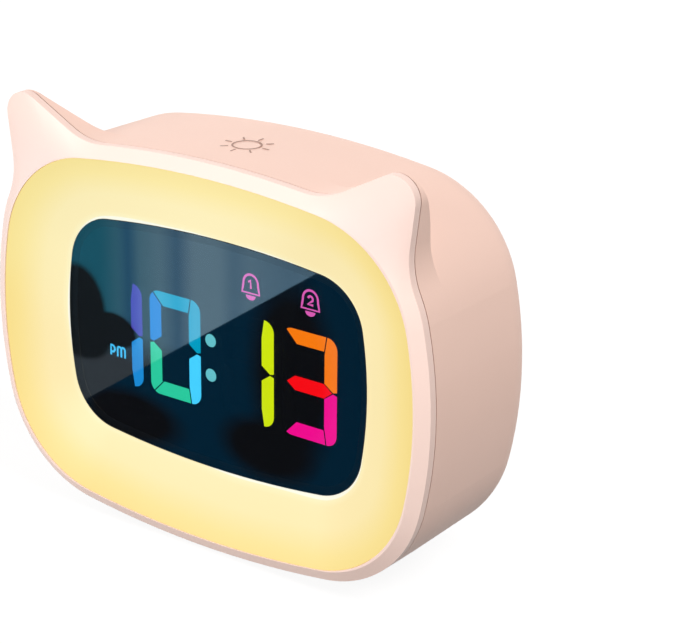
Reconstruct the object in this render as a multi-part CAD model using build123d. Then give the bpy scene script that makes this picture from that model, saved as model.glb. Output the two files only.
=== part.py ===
from build123d import *
import math
import os

os.makedirs("parts", exist_ok=True)

# All sizes are millimetres.  X is across the clock, Y runs from the dial to the back, Z is up.
# Outlines are drawn about the middle of the dial.  "Depth" is measured back from the front rim.

# ---- outer casing
body_width = 151.0
body_height = 112.5
body_cap_radius = 312.0  # long arcs of the top and the bottom
body_side_radius = 118.0
body_corner_radius = 35.5
body_depth = 54.0
seam_depth = 4.6
seam_groove = 0.3  # open line between the two mouldings
wall = 2.0
rear_round = 11.0
rear_narrowing = 0.6  # how far each side draws in toward the back
base_rise = 3.6  # flat base above the lowest point of the front frame
slope_width = 3.4  # the sloping front runs from that far inside the casing's outline
slope_depth = 2.2

# ---- cat ears
ear_apex_inset = 4.7  # where the straight flanks would meet, inward of the casing's side
ear_apex_rise = 13.15  # and above its top
ear_slope = 27.7  # inner flank, degrees above level
ear_lean = 7.0  # outer flank, degrees from upright
ear_tip_radius = 6.5
ear_valley_radius = 22.0
ear_waist_radius = 22.0
ear_wall = 2.0
ear_foot = 12.5  # where the line of the back slope meets the casing
ear_back_angle = 64.5  # degrees between the back slope and the casing
ear_foot_radius = 5.0
ear_foot_sink = 0.4  # the hollow blend runs that far into the casing
ear_foot_steps = 4
ear_spread = 3.5  # the back slope runs out faster sideways than upward
ear_corner_spread = 1.4
ear_edges = 5  # in the ear's outline: valley, flank, tip, flank, waist

# ---- front frame inside
ledge_depth = 3.4
ledge_thickness = 1.6
ledge_width = 2.2
tongue_wall_left = 1.1  # what the rebate leaves of the rear shell's wall
tongue_gap = 0.15
tongue_thickness = 1.75
tongue_length = 6.0
post_radius = 3.5
post_sink = 0.6  # how far a post merges into the tongue
case_post_end = 19.0
case_post_angle = 45.0
case_boss_radius = 4.5
pilot_radius = 1.15
case_pilot_length = 9.0
module_pilot_length = 4.0
module_post_x = 34.0
joint_gap = 0.2

# ---- light ring and display window
ring_side_margin = 4.0
ring_top_margin = 3.5
ring_cap_radius = 304.0
ring_side_radius = 117.0
ring_corner_radius = 33.5
ring_gap = 0.12
ring_setback = 0.3
ring_thickness = 2.2
ring_rim = 1.4
dish_depth = 6.3
ring_side_band = 19.0  # lit width of the ring, from its rim to the window
ring_top_band = 18.9
lens_cap_radius = 307.0
lens_side_radius = 108.0
lens_corner_radius = 15.8
lens_gap = 0.1
lens_thickness = 1.5
lens_ledge = 1.2
lens_edge = 0.15

# ---- light chamber, front board and digits
chamber_inset = 7.5
chamber_wall = 1.2
chamber_depth = 12.0
divider_inset = 0.6
seat_gap = 0.3
board_thickness = 1.6
lug_radius = 3.5
clearance_radius = 1.45
led_size = 3.5
led_height = 1.0
led_gap = 0.35
leds_along = 7
led_pitch = 14.0
led_arch_x = 35.0  # lamps farther out than this stay level with it
leds_up = 3
led_pitch_up = 19.0
reflector_gap = 0.4
digit_width = 18.3
digit_height = 30.9
digit_stroke = 4.2
digit_drop = 1.5  # digits' middle below the dial's middle
digit_pitch = 21.1
left_pair_x = -24.4
right_pair_x = 22.2
digit_corner = 3.4
segment_gap = 0.3
mitre_x = 1.8  # outer end of the slanted joints, from the digit's left edge
mitre_z = 1.2
mitre_overrun = 0.5  # the slanted joints end this far past the inner corner
square_x = 3.5  # outer end of the upright joints, from the digit's right edge
notch_x = 1.3  # point of the notch between upright bars, from their outer edge
notch_rise = 0.5
colon_x = -1.15
colon_radius = 1.9
colon_rise = 5.1
insert_thickness = 1.5
lamp_width = 2.0
lamp_length = 1.25
lamp_height = 0.7
sign_windows = ((-35.3, -8.1, 7.0, 3.8), (13.0, 22.4, 7.4, 8.4), (32.8, 22.4, 7.4, 8.4))
sign_corner = 1.0

# ---- main board and buttons
main_width = 100.0
main_height = 36.0
main_z = 24.0
main_corner = 2.0
main_to_wall = 7.1
main_boss_radius = 3.0
main_boss_x = 45.0
main_boss_z = 13.5
chips = ((-12.0, 24.0, 10.0, 10.0), (8.0, 26.0, 10.0, 4.0), (26.0, 24.0, 5.0, 4.0))
chip_height = 1.6
chip_edge = 0.25
cans = ((-30.0, 20.0), (-30.0, 30.0), (38.0, 22.0))
can_radius = 3.15
can_height = 7.7
can_edge = 0.5
button_names = ("time", "alarm_1", "alarm_2", "light", "minus", "plus")
button_pitch = 15.0
button_z = 29.0
button_width = 10.0
button_height = 6.0
button_proud = 0.8
button_edge = 0.5
button_gap = 0.25
button_flange = 1.2
flange_thickness = 1.0
flange_gap = 0.1
stem_radius = 1.5
button_travel = 0.6
stem_gap = 0.05
switch_size = 6.0
switch_body = 3.6
plunger_radius = 1.75
plunger_height = 0.8
socket_x = 30.0
socket_z = 12.5
socket_width = 8.94
socket_height = 3.2
socket_wall = 0.3
socket_recess = 0.3
socket_tongue_width = 6.7
socket_tongue_height = 0.7
socket_gap = 0.25
plug_margin = 1.6
plug_recess = 0.8

# ---- speaker
speaker_from_bay = 4.0
speaker_room = 18.5  # beside it, between the battery bay and the casing's side
speaker_z = -14.0
gasket_thickness = 0.8
gasket_width = 2.4
rim_thickness = 1.2
rim_width = 2.5
basket_depth = 6.0
basket_sheet = 0.6
magnet_radius = 9.0
magnet_height = 4.5
magnet_edge = 0.6
cone_depth = 3.0
cone_sheet = 0.4
cap_radius = 5.0
cap_height = 1.4
locator_wall = 1.2
speaker_boss_radius = 2.1
speaker_boss_angles = (60.0, 180.0, 300.0)
grille_edge = 1.1  # left covered at the cone's edge
grille_pitch = 3.4
grille_slot = 1.6

# ---- battery bay in the back
cell_radius = 5.25
cell_length = 44.5
cell_edge = 0.6
nub_radius = 1.9
nub_length = 0.8
cell_count = 3
cell_pitch = 11.2
bay_z = -24.2
bay_end_room = 2.75
bay_side_room = 0.35
bay_wall = 2.4
bay_floor = 1.5
cell_gap = 0.2
rib_width = 0.5
rib_height = 2.6
door_thickness = 1.8
door_edge = 2.0
door_gap = 0.2
door_screw_reach = 6.5
door_screw_inset = 3.9
door_boss_radius = 3.0
door_corner = 2.0
tab_width = 6.0
tab_thickness = 1.1
tab_reach = 1.8
tab_root = 2.0
tab_z = 12.0
contact_thickness = 0.3
contact_width = 8.0
spring_tip = 1.2

# ---- feet, touch pad, screws, leads
foot_radius = 5.5
foot_proud = 4.2
foot_sunk = 0.8
foot_from_side = 40.5
foot_front = 19.0
foot_rear = 41.0
foot_edge = 0.8
foot_gap = 0.1
pad_radius = 11.0
pad_thickness = 0.4
pad_depth = 22.5
head_radius = 2.6
head_height = 1.6
head_edge = 0.5
screw_radius = 1.1
case_screw_length = 10.0
screw_floor = 4.0  # plastic under the head of a case screw
module_screw_length = 5.0
board_screw_length = 5.0
door_screw_length = 5.0
door_screw_sink = 1.0
speaker_screw_length = 3.0
hole_overrun = 0.3
lead_radius = 0.8
lead_bend = 4.0
tight_bend = 1.6
lead_run = 5.0
ribbon_width = 18.0
ribbon_thickness = 0.8
plug_width = 7.0
ribbon_plug_width = 22.0
plug_depth = 4.5
plug_height = 5.0
battery_plug_x = 20.0
speaker_plug_x = -24.0
touch_plug_x = 20.0
touch_lead_x = 6.0
touch_lead_depth = 29.0
speaker_lead_x = 10.6  # beside the magnet, from the speaker's middle

front = -(body_depth + button_proud) / 2
centre_z = foot_proud - base_rise + body_height / 2
ear_apex_x = body_width / 2 - ear_apex_inset
ear_apex_z = body_height / 2 + ear_apex_rise
ring_width = body_width - 2 * ring_side_margin
ring_height = body_height - 2 * ring_top_margin
lens_width = ring_width - 2 * ring_side_band
lens_height = ring_height - 2 * ring_top_band
foot_x = body_width / 2 - foot_from_side
shell_start = seam_depth + seam_groove
ear_foot_reach = ear_foot_radius * math.tan(math.radians(ear_back_angle) / 2)
taper_start = ear_foot + ear_foot_reach
back_inside = body_depth - wall
lens_depth = ring_setback + dish_depth
lens_back = lens_depth + lens_thickness
digit_front = lens_back + seat_gap
front_board_depth = chamber_depth + chamber_wall
front_board_back = front_board_depth + board_thickness
main_rear = back_inside - main_to_wall
main_front = main_rear - board_thickness
tongue_inset = tongue_wall_left + tongue_gap
cavity_inset = tongue_inset + tongue_thickness
tongue_end = seam_depth + tongue_length
speaker_face = back_inside - gasket_thickness
speaker_rim = speaker_face - rim_thickness
speaker_floor = speaker_face - basket_depth
case_head = case_post_end + screw_floor
bay_length = cell_length + 2 * bay_end_room
speaker_radius = (body_width / 2 - bay_length / 2 - speaker_room) / 2
speaker_x = -bay_length / 2 - speaker_from_bay - speaker_radius
cone_radius = speaker_radius - rim_width
grille_radius = cone_radius - grille_edge
grille_slots = 2 * int(grille_radius / grille_pitch) + 1
bay_height = 2 * cell_radius + (cell_count - 1) * cell_pitch + 2 * bay_side_room
door_inside = body_depth - door_thickness
cell_depth = door_inside - 2 * cell_gap - cell_radius
bay_floor_depth = cell_depth - cell_radius - cell_gap
door_screw_x = bay_length / 2 + door_screw_reach - door_screw_inset
door_boss_start = back_inside - 2 * door_screw_length
plug_low_z = main_z - main_height / 2 + plug_height
plug_high_z = main_z + main_height / 2 - plug_height
plug_front = main_front - plug_depth
beyond = 4 * body_depth


# ---- drawing and placing
def plane_at(depth):
    """Drawing plane across the clock, that far behind the front rim."""
    return Plane(origin=(0, front + depth, centre_z), x_dir=(1, 0, 0), z_dir=(0, -1, 0))


def slab(sketch, near, far):
    """Prism of a sketch between two depths."""
    return extrude(plane_at(far) * sketch, amount=far - near, dir=(0, -1, 0))


def blend(near_face, near, far_face, far):
    """Straight-ruled solid between two outlines at two depths."""
    return loft([plane_at(near) * near_face, plane_at(far) * far_face], ruled=True)


def disc(x, z, radius):
    return Pos(x, z) * Circle(radius)


def block(x, z, width, height):
    return Pos(x, z) * Rectangle(width, height)


def oblong(x, z, width, height):
    return Pos(x, z) * SlotOverall(width, height)


def polygon(points):
    return make_face(Polyline(*points, close=True))


def world(x, depth, z):
    return (x, front + depth, centre_z + z)


def point_on(centre, radius, angle):
    turn = math.radians(angle)
    return (centre[0] + radius * math.cos(turn), centre[1] + radius * math.sin(turn))


def shifted(point, heading, distance):
    return (point[0] + distance * heading[0], point[1] + distance * heading[1])


def arc(centre, radius, start, end):
    return ThreePointArc(*[point_on(centre, radius, angle) for angle in (start, (start + end) / 2, end)])


def angle_to(start, end):
    return math.degrees(math.atan2(end[1] - start[1], end[0] - start[0]))


def circles_meet(first, first_radius, second, second_radius):
    """Where two circles cross, up and to the right of their centres."""
    span = math.dist(first, second)
    along = (first_radius**2 - second_radius**2 + span**2) / (2 * span)
    across = math.sqrt(first_radius**2 - along**2)
    ux, uz = (second[0] - first[0]) / span, (second[1] - first[1]) / span
    return (first[0] + along * ux - across * uz, first[1] + along * uz + across * ux)


def line_meets_circle(start, heading, centre, radius, side):
    """Where a line crosses a circle: the nearer crossing for side -1, the farther for +1."""
    rx, rz = start[0] - centre[0], start[1] - centre[1]
    along = rx * heading[0] + rz * heading[1]
    half = math.sqrt(along**2 - (rx**2 + rz**2 - radius**2))
    return shifted(start, heading, side * half - along)


def mirrored_corners(x, z):
    return [(x, z), (-x, z), (x, -z), (-x, -z)]


def group(shapes):
    return Compound(children=[solid for shape in shapes for solid in shape.solids()])


def keep(shape, node):
    """Writes one sub-part."""
    solids = shape.solids()
    export_step(solids[0] if len(solids) == 1 else group([shape]), f"parts/{node}.step")


# ---- outlines
class Barrel:
    """Eight tangent arcs: two long ones, two at the sides and four corners, drawn in by an inset."""

    def __init__(self, width, height, cap_radius, side_radius, corner_radius, inset=0.0):
        self.cap = (0.0, height / 2 - cap_radius)
        self.side = (width / 2 - side_radius, 0.0)
        side_reach, cap_reach = side_radius - corner_radius, cap_radius - corner_radius
        self.corner = circles_meet(self.side, side_reach, self.cap, cap_reach)
        self.cap_angle = angle_to(self.cap, self.corner)
        self.side_angle = angle_to(self.side, self.corner)
        self.cap_radius = cap_radius - inset
        self.side_radius = side_radius - inset
        self.corner_radius = corner_radius - inset

    def right_edges(self, corner_start):
        """Right edge from the upper corner down to the bottom arc."""
        low_corner = (self.corner[0], -self.corner[1])
        return [
            arc(self.corner, self.corner_radius, corner_start, self.side_angle),
            arc(self.side, self.side_radius, self.side_angle, -self.side_angle),
            arc(low_corner, self.corner_radius, -self.side_angle, -self.cap_angle),
        ]

    def long_arc(self, angle, sign):
        return arc((0.0, sign * self.cap[1]), self.cap_radius, sign * angle, sign * (180 - angle))

    def close(self, right, top_angle):
        """Mirrors the right-hand edges and adds the long top and bottom arcs."""
        left = [edge.mirror(Plane.YZ) for edge in right]
        top, bottom = self.long_arc(top_angle, 1), self.long_arc(self.cap_angle, -1)
        return make_face(Wire([top] + left + [bottom] + right[::-1]))

    def face(self):
        return self.close(self.right_edges(self.cap_angle), self.cap_angle)

    def height_at(self, x):
        """Top edge above the middle, at x on the long arc."""
        return self.cap[1] + math.sqrt(self.cap_radius**2 - x**2)

    def reach_at(self, z):
        """Side edge from the middle, at z on the side arc."""
        return self.side[0] + math.sqrt(self.side_radius**2 - z**2)


def body_barrel(inset):
    return Barrel(body_width, body_height, body_cap_radius, body_side_radius, body_corner_radius, inset)


def ring_barrel(inset):
    return Barrel(ring_width, ring_height, ring_cap_radius, ring_side_radius, ring_corner_radius, inset)


def lens_barrel(inset):
    return Barrel(lens_width, lens_height, lens_cap_radius, lens_side_radius, lens_corner_radius, inset)


def ear_centres(body, inset):
    """Centres of the valley, the tip and the waist that blend an ear onto a body outline."""
    apex, half_angle = (ear_apex_x, ear_apex_z), (90 - ear_lean - ear_slope) / 2
    tip_reach = ear_tip_radius / math.sin(math.radians(half_angle))
    tip = point_on(apex, tip_reach, 180 + ear_slope + half_angle)
    upward, downward = point_on((0, 0), 1, ear_slope), point_on((0, 0), 1, -90 - ear_lean)
    beside = point_on(apex, ear_valley_radius, ear_slope + 90)
    valley_reach = body.cap_radius + ear_valley_radius + inset
    valley = line_meets_circle(beside, upward, body.cap, valley_reach, 1)
    beside = point_on(apex, ear_waist_radius, -ear_lean)
    waist_reach = body.corner_radius + ear_waist_radius + inset
    waist = line_meets_circle(beside, downward, body.corner, waist_reach, -1)
    return valley, tip, waist


def eared_face(inset):
    """Body outline with a cat ear blended onto each upper corner by tangent arcs."""
    body = body_barrel(inset)
    valley, tip, waist = ear_centres(body, inset)
    valley_radius, waist_radius = ear_valley_radius + inset, ear_waist_radius + inset
    tip_radius = ear_tip_radius - inset
    inner_flank = [point_on(valley, valley_radius, ear_slope - 90)]
    inner_flank.append(point_on(tip, tip_radius, ear_slope + 90))
    outer_flank = [point_on(tip, tip_radius, -ear_lean)]
    outer_flank.append(point_on(waist, waist_radius, 180 - ear_lean))
    ear = [
        arc(valley, valley_radius, angle_to(valley, body.cap), ear_slope - 90),
        Line(*inner_flank),
        arc(tip, tip_radius, ear_slope + 90, -ear_lean),
        Line(*outer_flank),
        arc(waist, waist_radius, 180 - ear_lean, angle_to(waist, body.corner) + 360),
    ]
    right = ear + body.right_edges(angle_to(body.corner, waist))
    return body.close(right, angle_to(body.cap, valley))


def rim_face():
    """Flat middle of the sloping front: a body outline whose corners are split like the ears."""
    valley, _, waist = ear_centres(body_barrel(0), 0)
    top_angle, corner_start = angle_to(body_barrel(0).cap, valley), angle_to(body_barrel(0).corner, waist)
    rim = body_barrel(slope_width)
    step = (corner_start - rim.cap_angle) / (ear_edges - 1)
    turns = [rim.cap_angle + count * step for count in range(ear_edges)]
    upper = [arc(rim.cap, rim.cap_radius, top_angle, rim.cap_angle)]
    upper += [arc(rim.corner, rim.corner_radius, start, end) for start, end in zip(turns, turns[1:])]
    return rim.close(upper + rim.right_edges(corner_start), top_angle)


# ---- forms shared by several sub-parts
def below_base(inset):
    """Everything lower than that far above the flat base."""
    return Pos(0, 0, foot_proud + inset - beyond / 2) * Box(beyond, beyond, beyond)


def rear_form(inset):
    """The rounded rear part of the casing, behind the ears, drawn in by an inset."""
    far = body_depth - inset
    form = blend(body_barrel(inset).face(), taper_start, body_barrel(inset + rear_narrowing).face(), far)
    return fillet(form.faces().sort_by(Axis.Y)[-1].edges(), rear_round - inset)


def casing_form(inset):
    """The casing without ears, from the seam to its back, drawn in by an inset."""
    return slab(body_barrel(inset).face(), seam_depth, taper_start) + rear_form(inset) - below_base(inset)


def flared_face(rise):
    """Body outline grown upward by the rise and sideways by more."""
    width, height = body_width + 2 * ear_spread * rise, body_height + 2 * rise
    side_radius = body_side_radius + ear_spread * rise
    corner_radius = body_corner_radius + ear_corner_spread * rise
    return Barrel(width, height, body_cap_radius + rise, side_radius, corner_radius).face()


def ear_back_form():
    """Solid whose back slopes from the ears' tips down to the casing, hollowed at its foot."""
    stations = []
    for step in range(ear_foot_steps + 1):
        turn = math.radians(ear_back_angle * step / ear_foot_steps)
        rise = ear_foot_radius * (1 - math.cos(turn)) - ear_foot_sink
        stations.append((rise, taper_start - ear_foot_radius * math.sin(turn)))
    last_rise, last_depth = stations[-1]
    slope_rise = (last_depth - seam_depth) * math.tan(math.radians(ear_back_angle))
    stations.append((last_rise + slope_rise, seam_depth))
    faces = [(flared_face(rise), depth) for rise, depth in stations]
    layers = [blend(*near, *far) for far, near in zip(faces, faces[1:])]
    return layers[0].fuse(*layers[1:])


# ---- screw places
def case_screw_places():
    body = body_barrel(0)
    reach = body.corner_radius - cavity_inset - post_radius + post_sink
    return mirrored_corners(*point_on(body.corner, reach, case_post_angle))


def module_screw_places():
    """Two at the top against the tongue, two at the bottom above the flat base."""
    inward = cavity_inset + post_radius - post_sink
    top = body_barrel(inward).height_at(module_post_x)
    bottom = base_rise + inward - body_height / 2
    return [(side * module_post_x, z) for z in (top, bottom) for side in (1, -1)]


def board_screw_places():
    return [(sx * main_boss_x, main_z + sz * main_boss_z) for sx in (-1, 1) for sz in (-1, 1)]


def speaker_screw_places():
    reach = speaker_radius + joint_gap + speaker_boss_radius
    return [point_on((speaker_x, speaker_z), reach, angle) for angle in speaker_boss_angles]


def button_places():
    first = -(len(button_names) - 1) / 2 * button_pitch
    return [(first + count * button_pitch, button_z) for count in range(len(button_names))]


# ---- casing
def front_frame():
    """Front moulding: sloping rim that runs out into both ears, ring ledge, tongue and posts."""
    outline = eared_face(0)
    frame = blend(rim_face(), 0, outline, slope_depth) + slab(outline, slope_depth, seam_depth)
    frame += slab(body_barrel(tongue_inset).face(), seam_depth, tongue_end) - below_base(tongue_inset)
    hollow = slab(body_barrel(cavity_inset).face(), ledge_depth + ledge_thickness, tongue_end)
    frame -= hollow - below_base(cavity_inset)
    frame -= slab(ring_barrel(0).face(), -slope_depth, ledge_depth)
    frame -= slab(ring_barrel(ledge_width).face(), 0, tongue_end)
    posts = [(place, case_post_end, case_pilot_length) for place in case_screw_places()]
    posts += [(place, chamber_depth, module_pilot_length) for place in module_screw_places()]
    for place, end, pilot in posts:
        frame += slab(disc(*place, post_radius), ledge_depth + ledge_thickness, end)
        frame -= slab(disc(*place, pilot_radius), end - pilot, end)
    return frame


def bay_outline(margin):
    return block(0, bay_z, bay_length + 2 * margin, bay_height + 2 * margin)


def door_outline(margin):
    """The battery door: the bay with an edge all round and a longer end for its screw."""
    left = -bay_length / 2 - door_edge - margin
    right = bay_length / 2 + door_screw_reach + margin
    plate = block((left + right) / 2, bay_z, right - left, bay_height + 2 * (door_edge + margin))
    return fillet(plate.vertices(), door_corner)


def door_tabs(margin, inner_end):
    """Tabs on the door's left end that hook under the casing."""
    start = -bay_length / 2 - door_edge - tab_reach - margin
    far = back_inside - flange_gap + margin
    near = back_inside - flange_gap - tab_thickness - margin
    tabs = []
    middle, length, width = (start + inner_end) / 2, inner_end - start, tab_width + 2 * margin
    for side in (-1, 1):
        tabs.append(slab(block(middle, bay_z + side * tab_z, length, width), near, far))
    return tabs


def inner_details():
    """Bay walls, screw bosses and the speaker's locating ring on the rear shell's inside."""
    details = slab(bay_outline(bay_wall), bay_floor_depth - bay_floor, back_inside)
    details += slab(disc(door_screw_x, bay_z, door_boss_radius), door_boss_start, back_inside)
    details += slab(door_outline(bay_wall / 2), door_inside - wall, back_inside)
    for place in case_screw_places():
        details += slab(disc(*place, case_boss_radius), case_post_end, body_depth)
    for place in board_screw_places():
        details += slab(disc(*place, main_boss_radius), main_rear, back_inside)
    for place in speaker_screw_places():
        details += slab(disc(*place, speaker_boss_radius), speaker_rim, back_inside)
    inner = speaker_radius + joint_gap
    locator = disc(speaker_x, speaker_z, inner + locator_wall)
    details += slab(locator, speaker_rim, back_inside)
    return details - slab(disc(speaker_x, speaker_z, inner), speaker_rim, back_inside)


def grille_slot_faces():
    """Level slots whose ends follow a circle."""
    slots = []
    for count in range(grille_slots):
        drop = (count - (grille_slots - 1) / 2) * grille_pitch
        length = 2 * math.sqrt(grille_radius**2 - drop**2)
        slots.append(oblong(speaker_x, speaker_z + drop, length, grille_slot))
    return slots


def through_holes():
    """Openings through the back wall."""
    sketches = grille_slot_faces()
    sketches += [button_outline(*place, button_gap) for place in button_places()]
    sketches.append(socket_outline(socket_gap))
    return [slab(sketch, back_inside - wall, body_depth + wall) for sketch in sketches]


def screw_holes():
    """Wells, clearance holes and pilot holes in the rear shell."""
    holes = []
    for place in case_screw_places():
        holes.append(slab(disc(*place, head_radius + joint_gap), case_head, body_depth))
        holes.append(slab(disc(*place, clearance_radius), case_post_end, case_head))
    for place in board_screw_places():
        holes.append(slab(disc(*place, pilot_radius), main_rear, back_inside))
    speaker_pilot_end = speaker_rim + speaker_screw_length + hole_overrun
    for place in speaker_screw_places():
        holes.append(slab(disc(*place, pilot_radius), speaker_rim, speaker_pilot_end))
    holes.append(slab(disc(door_screw_x, bay_z, pilot_radius), door_boss_start + wall, door_inside))
    return holes


def battery_cavity():
    """Space for the door, its tabs and the cells, less the low ribs between the cells."""
    cavity = slab(bay_outline(0), bay_floor_depth, body_depth)
    for count in range(1, cell_count):
        rib_z = bay_z + (count - cell_count / 2) * cell_pitch
        cavity -= slab(block(0, rib_z, bay_length, rib_width), bay_floor_depth, bay_floor_depth + rib_height)
    cavity += slab(door_outline(door_gap), door_inside, body_depth)
    return cavity.fuse(*door_tabs(door_gap, -bay_length / 2 + door_gap))


def foot_places():
    return [(side * foot_x, depth) for side in (-1, 1) for depth in (foot_front, foot_rear)]


def foot_cylinder(x, depth, radius):
    height = foot_proud + foot_sunk
    return Pos(x, front + depth, height / 2) * Cylinder(radius, height)


def rear_shell():
    """Rear moulding: rounded hollow body, backs of the ears, battery bay, bosses and openings."""
    back_slope = ear_back_form()
    ears = eared_face(0) - body_barrel(wall / 2).face()
    ears = slab(ears, shell_start, taper_start + wall) & back_slope
    shell = slab(body_barrel(0).face(), shell_start, taper_start) + rear_form(0) + ears
    shell = shell - below_base(0) - casing_form(wall)
    shell += inner_details() & casing_form(wall / 2)
    rebate = slab(body_barrel(tongue_wall_left).face(), seam_depth, tongue_end + joint_gap)
    shell -= rebate - below_base(tongue_wall_left)
    pockets = slab(eared_face(ear_wall) - body_barrel(0).face(), seam_depth, taper_start + wall)
    shell -= pockets & (Pos(0, -ear_wall, 0) * back_slope)
    shell = shell.cut(battery_cavity(), *screw_holes(), *through_holes())
    shell -= slab(socket_outline(plug_margin), body_depth - plug_recess, body_depth)
    return shell.cut(*[foot_cylinder(*place, foot_radius + foot_gap) for place in foot_places()])


def rubber_feet():
    feet = [foot_cylinder(*place, foot_radius) for place in foot_places()]
    return group([chamfer(foot.edges().group_by(Axis.Z)[0], foot_edge) for foot in feet])


def battery_door():
    door = slab(door_outline(0), door_inside, body_depth)
    inner_end = -bay_length / 2 + tab_root
    for side, tab in zip((-1, 1), door_tabs(0, inner_end)):
        left = -bay_length / 2 + door_gap
        root = block((left + inner_end) / 2, bay_z + side * tab_z, inner_end - left, tab_width)
        door += tab + slab(root, back_inside - flange_gap - tab_thickness, door_inside)
    door -= slab(disc(door_screw_x, bay_z, head_radius + joint_gap), body_depth - door_screw_sink, body_depth)
    return door - slab(disc(door_screw_x, bay_z, clearance_radius), door_inside, body_depth)


# ---- front module
def light_ring():
    """Dished milky ring: it falls from its rim to the display window, which sits on its inner ledge."""
    rim, pocket = ring_barrel(ring_gap).face(), lens_barrel(0).face()
    ring = slab(rim, ring_setback, ring_setback + ring_thickness)
    ring += blend(rim, ring_setback + ring_thickness, pocket, lens_depth + ring_thickness)
    ring += slab(rim - ring_barrel(ring_gap + ring_rim).face(), ring_setback, ledge_depth)
    ring -= blend(rim, ring_setback, pocket, lens_depth)
    ring -= slab(pocket, lens_depth - ring_setback, lens_back)
    return ring - slab(lens_barrel(lens_ledge).face(), ring_setback, lens_depth + 2 * ring_thickness)


def display_lens():
    lens = slab(lens_barrel(lens_gap).face(), lens_depth, lens_back)
    return chamfer(lens.faces().sort_by(Axis.Y)[0].edges(), lens_edge)


def lugs():
    """Screw lugs that reach from the chamber out to the frame's posts."""
    pieces = []
    root = body_height / 2 - wall - chamber_inset - lug_radius
    for x, z in module_screw_places():
        neck = block(x, (z + math.copysign(root, z)) / 2, 2 * lug_radius, abs(z) - root)
        pieces.append(disc(x, z, lug_radius) + neck)
    return pieces


def lug_holes():
    return [disc(x, z, clearance_radius) for x, z in module_screw_places()]


def led_places():
    """Lamps along the middle of the chamber, all the way round the display."""
    outer, inner = ring_barrel(chamber_inset), lens_barrel(0)
    places = []
    for count in range(leds_along):
        x = (count - (leds_along - 1) / 2) * led_pitch
        z = (outer.height_at(x) + inner.height_at(min(abs(x), led_arch_x))) / 2
        places += [(x, z), (x, -z)]
    for count in range(leds_up):
        z = (count - (leds_up - 1) / 2) * led_pitch_up
        x = (outer.reach_at(z) + inner.reach_at(z)) / 2
        places += [(x, z), (-x, z)]
    return places


def light_chamber():
    """White walls and floor that keep the ring's light away from the display."""
    outer, hollow = ring_barrel(chamber_inset).face(), ring_barrel(chamber_inset + chamber_wall).face()
    divider, inside = lens_barrel(divider_inset).face(), lens_barrel(divider_inset + chamber_wall).face()
    chamber = slab((outer - hollow) + (divider - inside), ledge_depth, chamber_depth)
    clear = ring_setback + ring_thickness + seat_gap
    chamber -= slab(ring_barrel(0).face(), 0, clear)
    chamber -= blend(ring_barrel(0).face(), clear, lens_barrel(0).face(), clear + dish_depth)
    floor = outer - inside
    for lug in lugs():
        floor += lug - hollow
    for hole in lug_holes():
        floor -= hole
    opening = led_size + 2 * led_gap
    for x, z in led_places():
        floor -= block(x, z, opening, opening)
    return chamber + slab(floor, chamber_depth, front_board_depth)


def front_board():
    board = ring_barrel(chamber_inset).face()
    for lug in lugs():
        board += lug
    for hole in lug_holes():
        board -= hole
    return slab(board, front_board_depth, front_board_back)


def night_light_leds():
    near = front_board_depth - led_height
    return group([slab(block(x, z, led_size, led_size), near, front_board_depth) for x, z in led_places()])


def joint_strip(start, end):
    """Thin gap along a line, run a little past both ends."""
    middle = ((start[0] + end[0]) / 2, (start[1] + end[1]) / 2)
    length = math.dist(start, end) + digit_stroke
    return Pos(*middle) * Rot(0, 0, angle_to(start, end)) * Rectangle(length, segment_gap)


def joint_cuts():
    """Everything that parts a digit's frame into its six outer bars."""
    left, right = -digit_width / 2, digit_width / 2
    cuts = []
    for side in (-1, 1):
        inner_z = side * (digit_height / 2 - digit_stroke)
        inner = (left + digit_stroke + mitre_overrun, inner_z)
        cuts.append(joint_strip(inner, (left + mitre_x, side * (digit_height / 2 - mitre_z))))
        cuts.append(joint_strip((right - digit_stroke, inner_z), (right - square_x, side * digit_height / 2)))
        open_half, half_gap = digit_stroke / 2 + segment_gap, segment_gap / 2
        inside, tip = side * (right - digit_stroke - segment_gap), side * (right - notch_x)
        upper = [(inside, open_half), (tip, half_gap), (side * right, notch_rise)]
        cuts.append(polygon(upper + [(x, -z) for x, z in upper[::-1]]))
    return cuts


def middle_bar():
    """The level bar across a digit's middle, pointed at both ends."""
    tip = digit_width / 2 - notch_x - segment_gap
    shoulder, half = digit_width / 2 - digit_stroke - segment_gap / 2, digit_stroke / 2
    right = [(shoulder, half), (tip, 0), (shoulder, -half)]
    return polygon(right + [(-x, -z) for x, z in right])


def digit_bars(number):
    """Bars of one digit; the first digit has only its right-hand pair."""
    outer = RectangleRounded(digit_width, digit_height, digit_corner)
    inner = Rectangle(digit_width - 2 * digit_stroke, digit_height - 2 * digit_stroke)
    bars = (outer - inner - joint_cuts()).faces() + [middle_bar()]
    if number == 0:
        bars = [bar for bar in bars if bar.center().X > digit_width / 4]
    middle_x = (left_pair_x, right_pair_x)[number // 2] + (number % 2 - 1 / 2) * digit_pitch
    return [Pos(middle_x, -digit_drop) * bar for bar in bars]


def colon_shapes():
    return [disc(colon_x, -digit_drop + side * colon_rise, colon_radius) for side in (-1, 1)]


def sign_shapes():
    return [Pos(x, z) * RectangleRounded(width, height, sign_corner) for x, z, width, height in sign_windows]


def display_shapes():
    return [bar for number in range(4) for bar in digit_bars(number)] + colon_shapes() + sign_shapes()


def digit_reflector():
    """Block with an open light well behind every bar, dot and sign."""
    outline = lens_barrel(divider_inset + chamber_wall + reflector_gap).face()
    wells = [slab(shape, digit_front, front_board_depth) for shape in display_shapes()]
    return slab(outline, digit_front, front_board_depth).cut(*wells)


def inserts(shapes):
    return group([slab(shape, digit_front, digit_front + insert_thickness) for shape in shapes])


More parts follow.
